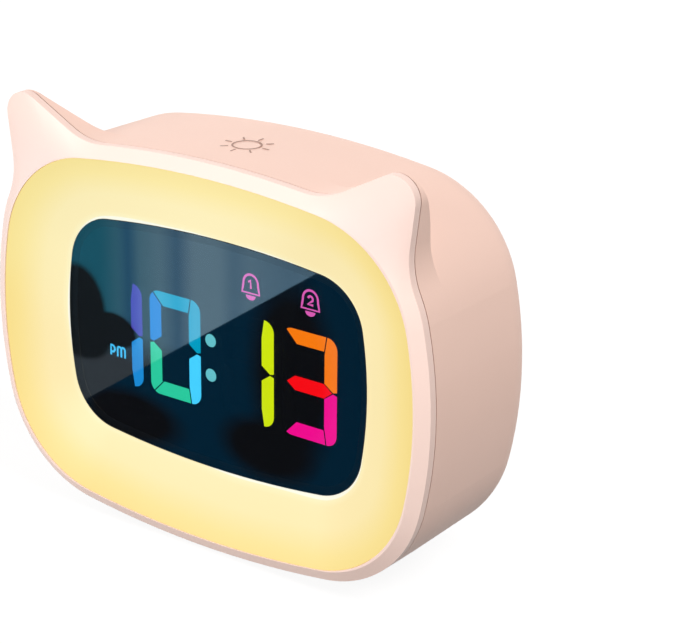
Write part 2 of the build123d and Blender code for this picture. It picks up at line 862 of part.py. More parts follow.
def segment_leds():
    near = front_board_depth - lamp_height
    middles = [shape.center() for shape in display_shapes()]
    lamps = [block(middle.X, middle.Y, lamp_width, lamp_length) for middle in middles]
    return group([slab(lamp, near, front_board_depth) for lamp in lamps])


# ---- main board and what it carries
def main_board():
    board = fillet(block(0, main_z, main_width, main_height).vertices(), main_corner)
    for place in board_screw_places():
        board -= disc(*place, clearance_radius)
    return slab(board, main_front, main_rear)


def main_chips():
    bodies = [slab(block(*chip), main_front - chip_height, main_front) for chip in chips]
    return group([chamfer(body.faces().sort_by(Axis.Y)[0].edges(), chip_edge) for body in bodies])


def capacitors():
    bodies = [slab(disc(*place, can_radius), main_front - can_height, main_front) for place in cans]
    return group([chamfer(body.edges().group_by(Axis.Y)[0], can_edge) for body in bodies])


def tact_switches():
    far = main_rear + switch_body
    bodies = [slab(block(*place, switch_size, switch_size), main_rear, far) for place in button_places()]
    plungers = [slab(disc(*place, plunger_radius), far, far + plunger_height) for place in button_places()]
    return group([body + plunger for body, plunger in zip(bodies, plungers)])


def button_outline(x, z, margin):
    return oblong(x, z, button_width + 2 * margin, button_height + 2 * margin)


def button(x, z):
    """Cap with a retaining flange inside the wall and a stem over its switch."""
    flange_far = back_inside - flange_gap
    flange_near = flange_far - flange_thickness
    stem_end = main_rear + switch_body + plunger_height + button_travel + stem_gap
    cap = slab(button_outline(x, z, 0), flange_near, body_depth + button_proud)
    cap = chamfer(cap.edges().group_by(Axis.Y)[-1], button_edge)
    cap += slab(button_outline(x, z, button_flange), flange_near, flange_far)
    return cap + slab(disc(x, z, stem_radius), stem_end, flange_near)


def socket_outline(margin):
    return oblong(socket_x, socket_z, socket_width + 2 * margin, socket_height + 2 * margin)


def power_socket():
    """Upright charging socket: an oval metal shell round a thin tongue."""
    mouth = body_depth - plug_recess - socket_recess
    socket = slab(socket_outline(0), main_rear, mouth)
    socket -= slab(socket_outline(-socket_wall), main_rear + board_thickness, mouth)
    tongue = block(socket_x, socket_z, socket_tongue_width, socket_tongue_height)
    return socket + slab(tongue, main_rear + board_thickness, mouth - socket_tongue_height)


def board_connectors():
    """Plug blocks: three small ones and the ribbon's two ends."""
    places = [(battery_plug_x, plug_low_z), (speaker_plug_x, plug_low_z), (touch_plug_x, plug_high_z)]
    blocks = [slab(block(*place, plug_width, plug_height), plug_front, main_front) for place in places]
    blocks.append(slab(block(0, plug_low_z, ribbon_plug_width, plug_height), plug_front, main_front))
    far = front_board_back + plug_depth
    blocks.append(slab(block(0, 0, ribbon_plug_width, plug_height), front_board_back, far))
    return group(blocks)


# ---- leads that the casing holds all the way
def along(points, bend, section):
    path = FilletPolyline(*points, radius=bend)
    start = Plane(origin=path @ 0, x_dir=(1, 0, 0), z_dir=path % 0)
    return sweep(start * section, path)


def ribbon_cable():
    near = front_board_back + plug_depth
    middle = (near + plug_front) / 2
    stops = [(near, 0), (middle, 0), (middle, plug_low_z), (plug_front, plug_low_z)]
    section = Rectangle(ribbon_width, ribbon_thickness)
    return along([world(0, depth, z) for depth, z in stops], lead_bend, section)


def battery_lead():
    start = bay_floor_depth - bay_floor
    turn = min(start, plug_front) - lead_run
    stops = [(start, bay_z), (turn, bay_z), (turn, plug_low_z), (plug_front, plug_low_z)]
    return along([world(battery_plug_x, depth, z) for depth, z in stops], lead_bend, Circle(lead_radius))


def speaker_lead():
    x = speaker_x + speaker_lead_x
    turn = plug_front - lead_run
    stops = [(x, speaker_floor, speaker_z), (x, turn, speaker_z)]
    stops += [(speaker_plug_x, turn, plug_low_z), (speaker_plug_x, plug_front, plug_low_z)]
    return along([world(*stop) for stop in stops], tight_bend, Circle(lead_radius))


def touch_pad():
    """Foil disc laid against the inside of the top wall."""
    layer = casing_form(wall) - casing_form(wall + pad_thickness)
    top = centre_z + body_height / 2
    return layer & (Pos(0, front + pad_depth, top) * Cylinder(pad_radius, body_height / 2))


def touch_lead():
    top = body_barrel(wall + pad_thickness).height_at(touch_lead_x) - lead_radius
    start, plug = world(touch_lead_x, touch_lead_depth, top), world(touch_plug_x, plug_front, plug_high_z)
    turn = world(touch_plug_x, plug_front - lead_run, plug_high_z)
    return along([start, turn, plug], tight_bend, Circle(lead_radius))


# ---- speaker
def speaker_disc(radius):
    return disc(speaker_x, speaker_z, radius)


def speaker_gasket():
    band = speaker_disc(speaker_radius) - speaker_disc(speaker_radius - gasket_width)
    return slab(band, speaker_face, back_inside)


def speaker_basket():
    """Pressed basket: flat rim, sloping wall and a floor for the magnet."""
    low_inside = speaker_disc(magnet_radius + basket_sheet)
    low_outside = speaker_disc(magnet_radius + 2 * basket_sheet)
    high_outside = speaker_disc(cone_radius + basket_sheet)
    outer = blend(low_outside, speaker_floor, high_outside, speaker_rim)
    inner = blend(low_inside, speaker_floor + basket_sheet, speaker_disc(cone_radius), speaker_rim)
    rim = slab(speaker_disc(speaker_radius), speaker_rim, speaker_face)
    return outer + rim - inner - slab(speaker_disc(cone_radius), speaker_rim, speaker_face)


def speaker_cone():
    """Paper cone hung from the rim, with its dust cap."""
    edge = speaker_face - cone_sheet
    low = edge - cone_depth
    cone = blend(speaker_disc(cap_radius), low, speaker_disc(cone_radius), edge)
    cone += slab(speaker_disc(cone_radius), edge, speaker_face)
    mouth = speaker_disc(cone_radius - cone_sheet)
    cone -= blend(speaker_disc(cap_radius), low + cone_sheet, mouth, speaker_face)
    cap = slab(speaker_disc(cap_radius), low, low + cap_height)
    return cone + chamfer(cap.edges().group_by(Axis.Y)[-1], cap_height - cone_sheet)


def speaker_magnet():
    magnet = slab(speaker_disc(magnet_radius), speaker_floor - magnet_height, speaker_floor)
    return chamfer(magnet.edges().group_by(Axis.Y)[0], magnet_edge)


# ---- cells and contacts
def cell_side(number):
    """Cells lie head to tail."""
    return 1 if number % 2 == 0 else -1


def cell_middle(number):
    return Pos(*world(0, cell_depth, bay_z + (number - (cell_count - 1) / 2) * cell_pitch))


def battery_cell(number):
    side = cell_side(number)
    body = Rot(0, 90, 0) * Cylinder(cell_radius, cell_length - nub_length)
    body = chamfer(body.edges().filter_by(GeomType.CIRCLE), cell_edge)
    nub = Rot(0, 90, 0) * Cylinder(nub_radius, 2 * nub_length)
    nub = Pos(side * (cell_length / 2 - nub_length), 0, 0) * nub
    return cell_middle(number) * (Pos(-side * nub_length / 2, 0, 0) * body + nub)


def battery_contacts():
    """Flat plates with a dimple for the cells' heads."""
    plates = []
    for number in range(cell_count):
        side = cell_side(number)
        dimple_length = bay_end_room - contact_thickness - cell_gap
        dimple = Rot(0, 90, 0) * Cylinder(nub_radius, dimple_length)
        dimple = Pos(-side * (contact_thickness + dimple_length) / 2, 0, 0) * dimple
        plate = Box(contact_thickness, contact_width, contact_width) + dimple
        plates.append(cell_middle(number) * Pos(side * (bay_length - contact_thickness) / 2, 0, 0) * plate)
    return group(plates)


def battery_springs():
    """Folded leaf springs for the cells' flat ends, drawn with the bay's wall at x = 0."""
    reach, sheet = bay_end_room - cell_gap, contact_thickness
    high, tip = contact_width / 2, spring_tip / 2
    leaf_lines = [(0, -high), (0, high), (-sheet, high), (-reach, tip), (-reach, -tip)]
    leaf_lines += [(-2 * sheet, -high), (-2 * sheet, -high + sheet), (-reach + sheet, -tip)]
    leaf_lines += [(-reach + sheet, tip - sheet), (-sheet, high - 2 * tip), (-sheet, -high)]
    springs = []
    for number in range(cell_count):
        side = -cell_side(number)
        leaf = extrude(polygon(leaf_lines), amount=contact_width / 2, both=True)
        if side < 0:
            leaf = leaf.mirror(Plane.YZ)
        springs.append(cell_middle(number) * Pos(side * bay_length / 2, 0, 0) * leaf)
    return group(springs)


# ---- screws
def screw(x, z, head_depth, length, heading):
    """Pan-head screw: the shank runs from under the head, to the front for -1, to the back for +1."""
    tip, crown = head_depth + heading * length, head_depth - heading * head_height
    head = slab(disc(x, z, head_radius), min(head_depth, crown), max(head_depth, crown))
    head = chamfer(head.edges().group_by(Axis.Y)[0 if heading > 0 else -1], head_edge)
    return head + slab(disc(x, z, screw_radius), min(head_depth, tip), max(head_depth, tip))


def screws(places, head_depth, length, heading):
    return group([screw(*place, head_depth, length, heading) for place in places])


keep(front_frame(), "front_frame")
keep(rear_shell(), "rear_shell")
keep(rubber_feet(), "rubber_feet")
keep(battery_door(), "battery_door")
keep(light_ring(), "light_ring")
keep(display_lens(), "display_lens")
keep(light_chamber(), "light_chamber")
keep(front_board(), "front_board")
keep(night_light_leds(), "night_light_leds")
keep(digit_reflector(), "digit_reflector")
for number in range(4):
    keep(inserts(digit_bars(number)), f"digit_{number + 1}")
keep(inserts(colon_shapes()), "colon_dots")
keep(inserts(sign_shapes()), "sign_windows")
keep(segment_leds(), "segment_leds")
keep(main_board(), "main_board")
keep(main_chips(), "main_chips")
keep(capacitors(), "capacitors")
keep(tact_switches(), "tact_switches")
for name, place in zip(button_names, button_places()):
    keep(button(*place), f"button_{name}")
keep(power_socket(), "power_socket")
keep(board_connectors(), "board_connectors")
keep(ribbon_cable(), "ribbon_cable")
keep(touch_pad(), "touch_pad")
keep(touch_lead(), "touch_lead")
keep(speaker_lead(), "speaker_lead")
keep(battery_lead(), "battery_lead")
keep(speaker_gasket(), "speaker_gasket")
keep(speaker_basket(), "speaker_basket")
keep(speaker_cone(), "speaker_cone")
keep(speaker_magnet(), "speaker_magnet")
for number in range(cell_count):
    keep(battery_cell(number), f"battery_cell_{number + 1}")
keep(battery_contacts(), "battery_contacts")
keep(battery_springs(), "battery_springs")
keep(screws(case_screw_places(), case_head, case_screw_length, -1), "case_screws")
keep(screws(module_screw_places(), front_board_back, module_screw_length, -1), "module_screws")
keep(screws(board_screw_places(), main_front, board_screw_length, 1), "board_screws")
keep(screws(speaker_screw_places(), speaker_rim, speaker_screw_length, 1), "speaker_screws")
keep(screws([(door_screw_x, bay_z)], body_depth - door_screw_sink, door_screw_length, -1), "door_screw")
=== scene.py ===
import math

import bpy
from mathutils import Matrix, Vector


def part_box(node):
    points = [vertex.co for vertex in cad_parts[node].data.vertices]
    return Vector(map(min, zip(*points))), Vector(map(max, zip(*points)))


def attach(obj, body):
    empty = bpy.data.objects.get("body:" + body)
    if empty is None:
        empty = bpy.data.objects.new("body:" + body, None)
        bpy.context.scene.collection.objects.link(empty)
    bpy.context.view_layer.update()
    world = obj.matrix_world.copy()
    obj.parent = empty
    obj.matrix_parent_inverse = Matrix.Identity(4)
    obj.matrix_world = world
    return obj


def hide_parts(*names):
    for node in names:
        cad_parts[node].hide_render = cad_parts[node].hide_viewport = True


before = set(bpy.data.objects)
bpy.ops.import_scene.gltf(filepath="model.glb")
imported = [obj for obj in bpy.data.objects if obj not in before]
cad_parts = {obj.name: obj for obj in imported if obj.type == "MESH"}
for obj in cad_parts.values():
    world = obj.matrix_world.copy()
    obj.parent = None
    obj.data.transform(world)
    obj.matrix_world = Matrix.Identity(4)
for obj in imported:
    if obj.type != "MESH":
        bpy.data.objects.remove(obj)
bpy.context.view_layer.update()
mm = 0.001

housing = {
    "front": -27.4,            # face plane of the dial, along y
    "centreZ": 56.85,          # height of the dial's centre
    "halfHeight": 56.25,       # from there to the crown of the top
    "capRadius": 312.0,        # arc of the top, seen from the front
    "ringDepth": (0.3, 6.6),   # the ring's rim and foot, behind the face plane
}
keys = ("time", "alarm_1", "alarm_2", "light", "minus", "plus")


def tint(r, g, b):
    # a display colour, 0 to 255, as the shader's own linear colour
    def linear(c):
        c = c / 255
        return c / 12.92 if c < 0.04 else ((c + 0.055) / 1.055) ** 2.4
    return (linear(r), linear(g), linear(b), 1.0)


def onDial(x, z, depth):
    # a point of the dial, from its centre and the face plane, in metres
    return Vector((x, housing["front"] + depth, housing["centreZ"] + z)) * mm


def selectOnly(obj):
    bpy.ops.object.select_all(action="DESELECT")
    obj.hide_set(False)
    obj.select_set(True)
    bpy.context.view_layer.objects.active = obj


def applyAll(obj):
    selectOnly(obj)
    bpy.ops.object.transform_apply(location=True, rotation=True, scale=True)


def joinAll(parts, name):
    bpy.ops.object.select_all(action="DESELECT")
    for part in parts:
        part.select_set(True)
    bpy.context.view_layer.objects.active = parts[0]
    if len(parts) > 1:
        bpy.ops.object.join()
    joined = bpy.context.view_layer.objects.active
    joined.name = name
    joined.data.name = name
    return joined


def addModifier(obj, kind, **settings):
    selectOnly(obj)
    modifier = obj.modifiers.new(kind.lower(), kind)
    for key, value in settings.items():
        setattr(modifier, key, value)
    bpy.ops.object.modifier_apply(modifier=modifier.name)


def bevelEdges(obj, width):
    # breaks the sharp edges of a small insert
    addModifier(obj, "BEVEL", width=width * mm, segments=2, limit_method="ANGLE",
                angle_limit=math.radians(50))


def smooth(obj, angle=35):
    selectOnly(obj)
    bpy.ops.object.shade_smooth_by_angle(angle=math.radians(angle))


def settle(obj, body, material):
    # the finished piece gets its finish and the body it moves with
    if material is not None:
        obj.data.materials.clear()
        obj.data.materials.append(material)
    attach(obj, body)


def copyOf(node, name):
    # a free copy of a solid of the frame, its triangles merged into clean faces
    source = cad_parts[node]
    obj = bpy.data.objects.new(name, source.data.copy())
    bpy.context.scene.collection.objects.link(obj)
    obj.data.materials.clear()
    selectOnly(obj)
    bpy.ops.object.mode_set(mode="EDIT")
    bpy.ops.mesh.select_all(action="SELECT")
    bpy.ops.mesh.remove_doubles(threshold=0.002 * mm)
    bpy.ops.mesh.dissolve_limited(angle_limit=math.radians(0.5))
    bpy.ops.mesh.normals_make_consistent(inside=False)
    bpy.ops.object.mode_set(mode="OBJECT")
    return obj


def startMaterial(name, color, rough, metallic=0.0):
    material = bpy.data.materials.new(name)
    material.use_nodes = True
    tree = material.node_tree
    shader = tree.nodes["Principled BSDF"]
    shader.inputs["Base Color"].default_value = color
    shader.inputs["Roughness"].default_value = rough
    shader.inputs["Metallic"].default_value = metallic
    return material, tree, shader


def addNode(tree, kind, values=None, **settings):
    node = tree.nodes.new(kind)
    for key, value in settings.items():
        setattr(node, key, value)
    for key, value in (values or {}).items():
        node.inputs[key].default_value = value
    return node


def ownCoords(tree):
    # the piece's own coordinates, whole and as separate x, y and z
    coords = addNode(tree, "ShaderNodeTexCoord").outputs["Object"]
    split = addNode(tree, "ShaderNodeSeparateXYZ")
    tree.links.new(coords, split.inputs["Vector"])
    return coords, split.outputs


def placeCoords(tree, scale=(1, 1, 1), turn=(0, 0, 0), move=(0, 0, 0)):
    coords = addNode(tree, "ShaderNodeTexCoord")
    mapping = addNode(tree, "ShaderNodeMapping", {"Scale": scale, "Rotation": turn, "Location": move})
    tree.links.new(coords.outputs["Object"], mapping.inputs["Vector"])
    return mapping.outputs["Vector"]


def noiseOf(tree, vector, scale, detail=3.0, rough=0.5):
    noise = addNode(tree, "ShaderNodeTexNoise", {"Scale": scale, "Detail": detail, "Roughness": rough})
    tree.links.new(vector, noise.inputs["Vector"])
    return noise.outputs["Fac"]


def rangeOf(tree, value, low, high, toLow, toHigh):
    node = addNode(tree, "ShaderNodeMapRange",
                   {"From Min": low, "From Max": high, "To Min": toLow, "To Max": toHigh})
    tree.links.new(value, node.inputs["Value"])
    return node.outputs["Result"]


noiseSpan = (0.3, 0.7)   # where most of a noise's values lie


def mixColors(tree, factor, first, second):
    # sockets 0, 6 and 7 are the factor and the two colours
    node = addNode(tree, "ShaderNodeMix", data_type="RGBA")
    for socket, value in ((node.inputs[0], factor), (node.inputs[6], first), (node.inputs[7], second)):
        if isinstance(value, tuple):
            socket.default_value = value
        else:
            tree.links.new(value, socket)
    return node.outputs[2]


def rampOf(tree, value, stops):
    node = addNode(tree, "ShaderNodeValToRGB")
    ramp = node.color_ramp
    ramp.elements[0].position, ramp.elements[0].color = stops[0]
    ramp.elements[1].position, ramp.elements[1].color = stops[-1]
    for place, color in stops[1:-1]:
        ramp.elements.new(place).color = color
    tree.links.new(value, node.inputs["Fac"])
    return node.outputs["Color"]


def bumpFrom(tree, shader, height, strength, depth):
    bump = addNode(tree, "ShaderNodeBump", {"Strength": strength, "Distance": depth * mm})
    tree.links.new(height, bump.inputs["Height"])
    tree.links.new(bump.outputs["Normal"], shader.inputs["Normal"])


def shaded(color, share):
    return tuple(c * share for c in color[:3]) + (1.0,)


moulding = {"mottleScale": 45.0, "roughSpread": (-0.05, 0.06), "grainDepth": 0.2, "ior": 1.46,
            "sheenRough": 0.4}
plastics = {
    "frameBlush": {"color": tint(254, 225, 214), "rough": 0.46, "mottle": 0.02, "grain": 1500.0,
                   "bump": 0.05},
    "shellBlush": {"color": tint(251, 216, 201), "rough": 0.5, "mottle": 0.025, "grain": 1300.0,
                   "bump": 0.07},
    "keyWhite": {"color": tint(250, 236, 228), "rough": 0.42, "mottle": 0.015, "grain": 1800.0,
                 "bump": 0.04},
    "chamberWhite": {"color": tint(240, 238, 232), "rough": 0.6, "mottle": 0.02, "grain": 900.0,
                     "bump": 0.05},
    "caseBlack": {"color": tint(18, 18, 19), "rough": 0.55, "mottle": 0.2, "grain": 1500.0, "bump": 0.08},
    "darkBar": {"color": tint(16, 17, 19), "rough": 0.5, "mottle": 0.1, "grain": 1200.0, "bump": 0.05},
    "softRubber": {"color": tint(196, 176, 168), "rough": 0.75, "mottle": 0.06, "grain": 1100.0,
                   "bump": 0.3, "sheen": 0.3},
    "foamBlack": {"color": tint(26, 26, 28), "rough": 0.95, "mottle": 0.35, "grain": 1400.0, "bump": 0.9},
    "paperCone": {"color": tint(38, 37, 36), "rough": 0.85, "mottle": 0.2, "grain": 2200.0, "bump": 0.5},
    "ferriteGrey": {"color": tint(58, 58, 61), "rough": 0.7, "mottle": 0.25, "grain": 1900.0, "bump": 0.4},
    "wireBlack": {"color": tint(24, 24, 25), "rough": 0.4, "mottle": 0.1, "grain": 1400.0, "bump": 0.05},
    "wireRed": {"color": tint(176, 26, 22), "rough": 0.4, "mottle": 0.1, "grain": 1400.0, "bump": 0.05},
    "inkBrown": {"color": tint(172, 138, 124), "rough": 0.55, "mottle": 0.08, "grain": 1500.0,
                 "bump": 0.05},
}


def mouldedPlastic(name, spec):
    # satin moulded plastic: faint flow mottle in the colour, fine spark-eroded grain
    material, tree, shader = startMaterial(name, spec["color"], spec["rough"])
    vector = placeCoords(tree)
    mottle = noiseOf(tree, vector, moulding["mottleScale"], detail=4.0)
    color = mixColors(tree, mottle, shaded(spec["color"], 1 - spec["mottle"]),
                      shaded(spec["color"], 1 + spec["mottle"] * 0.5))
    tree.links.new(color, shader.inputs["Base Color"])
    grain = noiseOf(tree, vector, spec["grain"], detail=2.0, rough=0.6)
    rough = rangeOf(tree, grain, *noiseSpan, *(spec["rough"] + s for s in moulding["roughSpread"]))
    tree.links.new(rough, shader.inputs["Roughness"])
    bumpFrom(tree, shader, grain, spec["bump"], moulding["grainDepth"])
    shader.inputs["IOR"].default_value = moulding["ior"]
    if "sheen" in spec:
        shader.inputs["Sheen Weight"].default_value = spec["sheen"]
        shader.inputs["Sheen Roughness"].default_value = moulding["sheenRough"]
    return material


plating = {"streaks": 900.0, "patches": 160.0, "dull": 0.8, "roughSpread": (0.7, 1.4), "bump": 0.08,
           "streakDepth": 0.1}
metals = {
    "zincPlate": {"color": tint(196, 198, 202), "rough": 0.3, "brush": (1, 8, 1)},
    "tinPlate": {"color": tint(214, 212, 206), "rough": 0.22, "brush": (6, 1, 1)},
    "canAluminium": {"color": tint(214, 216, 220), "rough": 0.35, "brush": (1, 1, 6)},
    "copperFoil": {"color": tint(214, 138, 96), "rough": 0.32, "brush": (1, 7, 1)},
}


def brightMetal(name, spec):
    # rolled or plated metal: brushed streaks along one axis and a few dull patches
    material, tree, shader = startMaterial(name, spec["color"], spec["rough"], metallic=1.0)
    streaks = noiseOf(tree, placeCoords(tree, spec["brush"]), plating["streaks"])
    patches = noiseOf(tree, placeCoords(tree), plating["patches"])
    color = mixColors(tree, patches, shaded(spec["color"], plating["dull"]), spec["color"])
    tree.links.new(color, shader.inputs["Base Color"])
    rough = rangeOf(tree, streaks, *noiseSpan, *(spec["rough"] * s for s in plating["roughSpread"]))
    tree.links.new(rough, shader.inputs["Roughness"])
    bumpFrom(tree, shader, streaks, plating["bump"], plating["streakDepth"])
    return material


diffuser = {"body": 0.25, "rough": 0.45, "cloud": 260.0, "dim": 0.93}


def glowing(name, color, strength):
    # a tinted diffuser lit from behind, its glow a little uneven
    material, tree, shader = startMaterial(name, shaded(color, diffuser["body"]), diffuser["rough"])
    cloud = noiseOf(tree, placeCoords(tree), diffuser["cloud"], detail=1.0)
    glow = mixColors(tree, cloud, shaded(color, diffuser["dim"]), color)
    tree.links.new(glow, shader.inputs["Emission Color"])
    shader.inputs["Emission Strength"].default_value = strength
    return material


ring = {
    "body": tint(120, 108, 72), "rough": 0.42, "strength": 0.79,
    "stops": [(0.0, tint(247, 219, 128)), (0.22, tint(250, 225, 141)), (0.6, tint(253, 234, 175)),
              (0.9, tint(254, 236, 180)), (0.985, tint(255, 243, 195)), (1.0, tint(255, 255, 242))],
    "cloud": 22.0, "drift": 0.06,                        # slow wander of the glow, as a share of the depth
    "grain": 1500.0, "bump": 0.03, "grainDepth": 0.2,
}


def milkyRing(spec):
    # milky light guide: the glow is deep yellow at the rim and pales down the dish to the display
    material, tree, shader = startMaterial("milkyRing", spec["body"], spec["rough"])
    axes = ownCoords(tree)[1]
    rim, foot = [(housing["front"] + d) * mm for d in housing["ringDepth"]]
    down = rangeOf(tree, axes["Y"], rim, foot, 0.0, 1.0)
    cloud = noiseOf(tree, placeCoords(tree), spec["cloud"], detail=1.0)
    drift = rangeOf(tree, cloud, *noiseSpan, -spec["drift"], spec["drift"])
    moved = addNode(tree, "ShaderNodeMath", operation="ADD")
    tree.links.new(down, moved.inputs[0])
    tree.links.new(drift, moved.inputs[1])
    glow = rampOf(tree, moved.outputs[0], spec["stops"])
    tree.links.new(glow, shader.inputs["Emission Color"])
    shader.inputs["Emission Strength"].default_value = spec["strength"]
    grain = noiseOf(tree, placeCoords(tree), spec["grain"], detail=2.0)
    bumpFrom(tree, shader, grain, spec["bump"], spec["grainDepth"])
    return material


lens = {
    "color": tint(126, 128, 130), "rough": 0.008, "ior": 1.49,
    "smear": 60.0, "smearSpan": (0.35, 0.7), "smearRough": (0.5, 1.5),
    "back": 8.1,       # rear face, behind the face plane
    "border": 2.4,     # width of the black ink on the rear face
    "lift": 0.04,      # clearance of the rear face over the ledge that it rests on
}


def smokedLens(spec):
    # smoked clear plastic with a polished face
    material, tree, shader = startMaterial("smokedLens", spec["color"], spec["rough"])
    shader.inputs["Transmission Weight"].default_value = 1.0
    shader.inputs["IOR"].default_value = spec["ior"]
    smear = noiseOf(tree, placeCoords(tree), spec["smear"])
    rough = rangeOf(tree, smear, *spec["smearSpan"], *(spec["rough"] * s for s in spec["smearRough"]))
    tree.links.new(rough, shader.inputs["Roughness"])
    return material


board = {
    "mask": tint(20, 84, 50), "shade": 0.85, "rough": 0.35,
    "trace": tint(44, 122, 74), "traceScale": 260.0, "traceWidth": 0.03,
    "tin": tint(190, 190, 180), "viaScale": 330.0, "viaEdge": (0.14, 0.1),
    "bump": 0.2, "traceDepth": 0.1,
}


def boardMask(spec):
    # green solder mask over slanting traces, with scattered tinned vias
    material, tree, shader = startMaterial("boardMask", spec["mask"], spec["rough"])
    vector = placeCoords(tree, turn=(math.radians(90), 0, math.radians(45)))
    traces = addNode(tree, "ShaderNodeTexBrick",
                     {"Color1": spec["mask"], "Color2": shaded(spec["mask"], spec["shade"]),
                      "Mortar": spec["trace"], "Scale": spec["traceScale"],
                      "Mortar Size": spec["traceWidth"]})
    tree.links.new(vector, traces.inputs["Vector"])
    vias = addNode(tree, "ShaderNodeTexVoronoi", {"Scale": spec["viaScale"]})
    tree.links.new(vector, vias.inputs["Vector"])
    dots = rangeOf(tree, vias.outputs["Distance"], *spec["viaEdge"], 0.0, 1.0)
    color = mixColors(tree, dots, traces.outputs["Color"], spec["tin"])
    tree.links.new(color, shader.inputs["Base Color"])
    bumpFrom(tree, shader, traces.outputs["Fac"], spec["bump"], spec["traceDepth"])
    return material


cell = {
    "dark": tint(44, 52, 60), "bright": tint(196, 150, 70), "rough": 0.28, "metallic": 0.35,
    "ends": (-22.0, 22.0),     # the sleeve's ends along x
    "band": (0.24, 0.26),      # where the bright band stops, as a share of the length
    "grain": 500.0, "bump": 0.1, "grainDepth": 0.1,
}


def cellJacket(spec):
    # plain shrink sleeve, dark along its length with a bright band at one end
    material, tree, shader = startMaterial("cellSleeve", spec["dark"], spec["rough"], spec["metallic"])
    axes = ownCoords(tree)[1]
    along = rangeOf(tree, axes["X"], *(x * mm for x in spec["ends"]), 0.0, 1.0)
    bandEnd, darkStart = spec["band"]
    color = rampOf(tree, along, [(0.0, spec["bright"]), (bandEnd, spec["bright"]),
                                 (darkStart, spec["dark"]), (1.0, spec["dark"])])
    tree.links.new(color, shader.inputs["Base Color"])
    grain = noiseOf(tree, placeCoords(tree), spec["grain"])
    bumpFrom(tree, shader, grain, spec["bump"], spec["grainDepth"])
    return material


ribbon = {"color": tint(176, 178, 182), "rough": 0.5, "cores": 250.0, "grooveShade": 0.7, "bump": 0.6,
          "grooveDepth": 0.2}


def ribbonGrey(spec):
    # flat cable: parallel cores with grooves between them, the grooves painted darker as painted shade
    material, tree, shader = startMaterial("ribbonGrey", spec["color"], spec["rough"])
    wave = addNode(tree, "ShaderNodeTexWave", {"Scale": spec["cores"]}, wave_type="BANDS",
                   bands_direction="X")
    tree.links.new(placeCoords(tree), wave.inputs["Vector"])
    # painted shade: the grooves' colour is darkened, standing in for the shade that falls in them
    color = mixColors(tree, wave.outputs["Fac"], shaded(spec["color"], spec["grooveShade"]), spec["color"])
    tree.links.new(color, shader.inputs["Base Color"])
    bumpFrom(tree, shader, wave.outputs["Fac"], spec["bump"], spec["grooveDepth"])
    return material


finishes = {name: mouldedPlastic(name, spec) for name, spec in plastics.items()}
for finishName, spec in metals.items():
    finishes[finishName] = brightMetal(finishName, spec)
finishes["milkyRing"] = milkyRing(ring)
finishes["smokedLens"] = smokedLens(lens)
finishes["boardMask"] = boardMask(board)
finishes["ribbonGrey"] = ribbonGrey(ribbon)
finishes["warmDiode"] = glowing("warmDiode", tint(255, 232, 170), 1.0)
finishes["cellSleeve"] = cellJacket(cell)

nodesWith = {
    "frameBlush": ["front_frame"],
    "shellBlush": ["rear_shell", "battery_door"],
    "softRubber": ["rubber_feet"],
    "milkyRing": ["light_ring"],
    "smokedLens": ["display_lens"],
    "chamberWhite": ["light_chamber", "segment_leds", "board_connectors"],
    "boardMask": ["front_board", "main_board"],
    "warmDiode": ["night_light_leds"],
    "caseBlack": ["digit_reflector", "main_chips"],
    "canAluminium": ["capacitors"],
    "tinPlate": ["tact_switches", "power_socket", "battery_contacts", "battery_springs"],
    "keyWhite": ["button_" + key for key in keys],
    "ribbonGrey": ["ribbon_cable"],
    "copperFoil": ["touch_pad"],
    "wireBlack": ["touch_lead"],
    "wireRed": ["speaker_lead", "battery_lead"],
    "foamBlack": ["speaker_gasket"],
    "zincPlate": ["speaker_basket", "case_screws", "module_screws", "board_screws", "speaker_screws",
                  "door_screw"],
    "paperCone": ["speaker_cone"],
    "ferriteGrey": ["speaker_magnet"],
    "cellSleeve": ["battery_cell_1", "battery_cell_2", "battery_cell_3"],
}
for finishName, nodeNames in nodesWith.items():
    for nodeName in nodeNames:
        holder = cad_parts[nodeName]
        holder.data.materials.clear()
        holder.data.materials.append(finishes[finishName])
print("finishes on", sum(len(names) for names in nodesWith.values()), "nodes")


def makeLens(spec):
    # the window, inked black on its wall and on a border behind it, so that only the digits show
    window = copyOf("display_lens", "displayWindow")
    window.data.materials.append(finishes["smokedLens"])
    window.data.materials.append(finishes["caseBlack"])
    flat = 0.9   # a face with more than this along y is the front or the rear one
    bpy.ops.object.mode_set(mode="EDIT")
    bpy.ops.mesh.select_mode(type="FACE")
    bpy.ops.mesh.select_all(action="DESELECT")
    bpy.ops.object.mode_set(mode="OBJECT")
    for face in window.data.polygons:
        face.material_index = 0 if abs(face.normal.y) > flat else 1
        face.select = face.normal.y > flat
    bpy.ops.object.mode_set(mode="EDIT")
    bpy.ops.mesh.inset(thickness=spec["border"] * mm)
    bpy.ops.mesh.select_mode(type="VERT")
    bpy.ops.object.mode_set(mode="OBJECT")
    for face in window.data.polygons:
        if face.normal.y > flat and not face.select:
            face.material_index = 1
    rear = housing["front"] + spec["back"]
    for vertex in window.data.vertices:
        if vertex.co.y > (rear - 0.01) * mm:
            vertex.co.y = (rear - spec["lift"]) * mm
    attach(window, "clock")
    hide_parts("display_lens")


makeLens(lens)
print("display window made")

